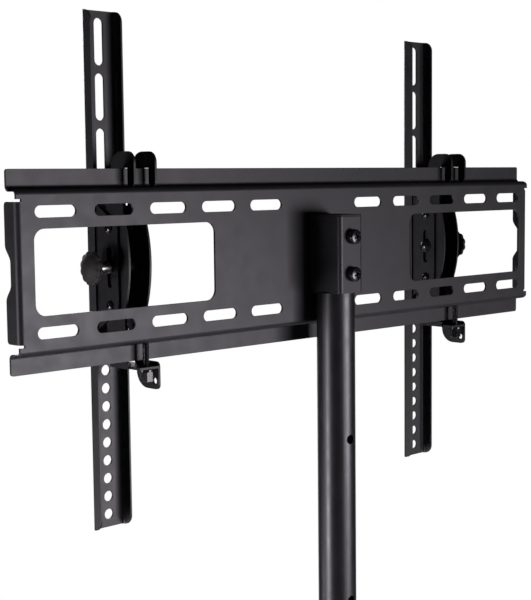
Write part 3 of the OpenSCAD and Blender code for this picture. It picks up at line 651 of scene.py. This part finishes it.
# Knobs. The flutes' depth is a share of the radius, and so is how far in they fade out.
FLUTE_DEPTH = 0.075
FLUTE_FADE = 0.35
BORE_CLEARANCE = 0.1 * MM
PIVOT_R = 4.0 * MM
TILT_KNOB_FLUTES = 12
TILT_KNOB_RIM = 3.2 * MM
TILT_KNOB_EDGE = 1.3 * MM
STUD_R = 4.0 * MM
HEIGHT_KNOB_FLUTES = 7
HEIGHT_KNOB_RIM = 13.0 * MM
HEIGHT_KNOB_EDGE = 3.0 * MM


def lobed(count, outer):
    """Smooth flutes that fade out towards a knob's middle."""
    def shape(radius, height, angle):
        wave = 0.5 + 0.5 * math.cos(count * angle)
        fade = max(0.0, 1 - (1 - radius / outer) / FLUTE_FADE)
        return radius * (1 - FLUTE_DEPTH * fade * wave ** 2)
    return shape


def knob(node, axis, side, flutes, rim, edge, bolt_r, bolt):
    """A domed, fluted plastic knob with a blind bore; bolt is the CAD node whose end sits in it."""
    low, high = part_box(node)
    axis = Vector(axis)
    height = abs((high - low).dot(axis))
    radius = (high.z - low.z) / 2
    foot = (low + high - axis * height) / 2
    tip = max(point.dot(axis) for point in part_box(bolt))
    bore = bolt_r + BORE_CLEARANCE
    bore_depth = tip - foot.dot(axis) + BORE_CLEARANCE
    profile = [(0.0, bore_depth), (bore, bore_depth), (bore, 0.0)]
    profile += round_foot(radius, edge)
    profile += round_edge(radius, rim, edge)[:-1]
    profile += dome(radius - edge, rim, height)
    mesh = bmesh.new()
    lathe(mesh, facing(foot, axis, side), profile, lobed(flutes, radius))
    stand_for(node, mesh)


# Sleeves. The grooves' places are shares of the length.
SLEEVE_CHAMFER = 0.6 * MM
SLEEVE_GROOVE = 0.25 * MM
SLEEVE_GROOVE_PLACES = (0.22, 0.78)


def knob_sleeve(side, out):
    """A turned bright sleeve between the cheek and the knob."""
    node = "knob_sleeve_" + side
    low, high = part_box(node)
    radius, length = (high.z - low.z) / 2, high.x - low.x
    bore = PIVOT_R + BORE_CLEARANCE
    waist = radius - SLEEVE_GROOVE
    profile = [(radius - SLEEVE_CHAMFER, 0.0), (radius, SLEEVE_CHAMFER)]
    for share in SLEEVE_GROOVE_PLACES:
        middle = share * length
        profile += [(radius, middle - 2 * SLEEVE_GROOVE), (waist, middle - SLEEVE_GROOVE),
                    (waist, middle + SLEEVE_GROOVE), (radius, middle + 2 * SLEEVE_GROOVE)]
    profile += [(radius, length - SLEEVE_CHAMFER), (radius - SLEEVE_CHAMFER, length)]
    profile += [(bore, length), (bore, 0.0)]
    start = (low + high) / 2 - Vector((out * length / 2, 0, 0))
    mesh = bmesh.new()
    lathe(mesh, facing(start, (out, 0, 0), (0, 0, 1)), profile, ring_shaped=True)
    stand_for(node, mesh)


# Pivot bolts
PIVOT_PITCH = 1.25 * MM
PIVOT_HEAD_RIM = 1.2 * MM


def pivot_bolt(side, out):
    """The bolt that an arm tilts on: a domed head inside, a threaded end in the knob."""
    node = "pivot_bolt_" + side
    low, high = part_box(node)
    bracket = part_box("tilt_bracket_" + side)
    cheek_x, near_x, far_x = (bracket[0].x, low.x, high.x) if out > 0 else (bracket[1].x, high.x, low.x)
    seat = (cheek_x, (low.y + high.y) / 2, (low.z + high.z) / 2)
    mesh = bmesh.new()
    head = domed_head((high.z - low.z) / 2, PIVOT_HEAD_RIM, abs(cheek_x - near_x))
    lathe(mesh, facing(seat, (-out, 0, 0), (0, 0, 1)), head)
    rod = facing(seat, (out, 0, 0), (0, 0, 1))
    threaded_rod(mesh, rod, PIVOT_R, abs(far_x - cheek_x), PIVOT_PITCH)
    stand_for(node, mesh)


# Security screws
SECURITY_R = 2.9 * MM
SECURITY_PITCH = 1.0 * MM


def security_screw(side):
    """An upright hex-headed screw whose thread passes the padlock ear."""
    node = "security_screw_" + side
    low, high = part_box(node)
    centre = (low + high) / 2
    washer_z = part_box("security_washer_" + side)[0].z
    flats = high.y - low.y
    mesh = bmesh.new()
    lathe(mesh, upright((centre.x, centre.y, low.z)), hex_profile(flats, washer_z - low.z), hexagon(flats))
    rod = upright((centre.x, centre.y, washer_z))
    threaded_rod(mesh, rod, SECURITY_R, high.z - washer_z, SECURITY_PITCH)
    stand_for(node, mesh)


# Base bolts
BASE_BOLT_R = 4.0 * MM
BASE_BOLT_PITCH = 1.25 * MM
BASE_HEAD_FLATS = 13.0 * MM
BASE_HEAD_H = 5.3 * MM
BASE_WASHER_H = 1.6 * MM
BASE_WASHER_EDGE = BASE_WASHER_H / 3


def base_bolts():
    """Hex bolts with washers that hold the pole's flange to the base."""
    mesh = bmesh.new()
    for low, high in solids("base_bolts"):
        centre = (low + high) / 2
        under = high.z - BASE_HEAD_H
        head = hex_profile(BASE_HEAD_FLATS, BASE_HEAD_H)
        lathe(mesh, upright((centre.x, centre.y, under)), head, hexagon(BASE_HEAD_FLATS))
        washer_r, seat = (high.x - low.x) / 2, under - BASE_WASHER_H
        washer = [(0.0, 0.0), (washer_r, 0.0)]
        washer += round_edge(washer_r, BASE_WASHER_H, BASE_WASHER_EDGE) + [(0.0, BASE_WASHER_H)]
        lathe(mesh, upright((centre.x, centre.y, seat)), washer)
        rod = upright((centre.x, centre.y, low.z))
        threaded_rod(mesh, rod, BASE_BOLT_R, seat - low.z, BASE_BOLT_PITCH)
    stand_for("base_bolts", mesh)


# Feet. The lower edge's bend is a share of the height, and the first groove's distance
# from it and the plain rest at both ends are shares of the grooves' spacing.
FOOT_BEND = 0.25
FOOT_GROOVES = 3
FOOT_GROOVE = 0.5 * MM
FOOT_GROOVE_START = 0.7
FOOT_GROOVE_REST = 0.4


def rubber_feet():
    """Round rubber feet with grip grooves round their sides."""
    mesh = bmesh.new()
    for low, high in solids("rubber_feet"):
        centre = (low + high) / 2
        radius, height = (high.x - low.x) / 2, high.z - low.z
        bend = FOOT_BEND * height
        spacing = (height - bend) / (FOOT_GROOVES + FOOT_GROOVE_REST)
        profile = [(0.0, 0.0)] + round_foot(radius, bend)
        for i in range(FOOT_GROOVES):
            middle = bend + spacing * (i + FOOT_GROOVE_START)
            profile += [(radius, middle - FOOT_GROOVE), (radius - FOOT_GROOVE, middle)]
            profile += [(radius, middle + FOOT_GROOVE)]
        profile += [(radius, height), (0.0, height)]
        lathe(mesh, upright((centre.x, centre.y, low.z)), profile)
    stand_for("rubber_feet", mesh)


def add_details():
    """Every piece that stands for a CAD node."""
    head_bolts()
    nuts("head_nuts", (0, 1, 0), (1, 0, 0), HEAD_BOLT_R)
    base_bolts()
    rubber_feet()
    knob("height_knob", (0, 1, 0), (1, 0, 0), HEIGHT_KNOB_FLUTES, HEIGHT_KNOB_RIM, HEIGHT_KNOB_EDGE,
         STUD_R, "height_lock_stud")
    for side, out in SIDES:
        guide_screws(side)
        nuts("guide_nuts_" + side, (1, 0, 0), (0, 0, 1), GUIDE_SCREW_R)
        knob("tilt_knob_" + side, (out, 0, 0), (0, 0, 1), TILT_KNOB_FLUTES, TILT_KNOB_RIM,
             TILT_KNOB_EDGE, PIVOT_R, "pivot_bolt_" + side)
        knob_sleeve(side, out)
        pivot_bolt(side, out)
        security_screw(side)


add_camera()
add_world()
for softbox in SOFTBOXES:
    add_softbox(*softbox)
add_floor()
FINISHES = make_finishes()
dress_frame()
add_details()

scene = bpy.context.scene
scene.view_settings.view_transform = "Standard"
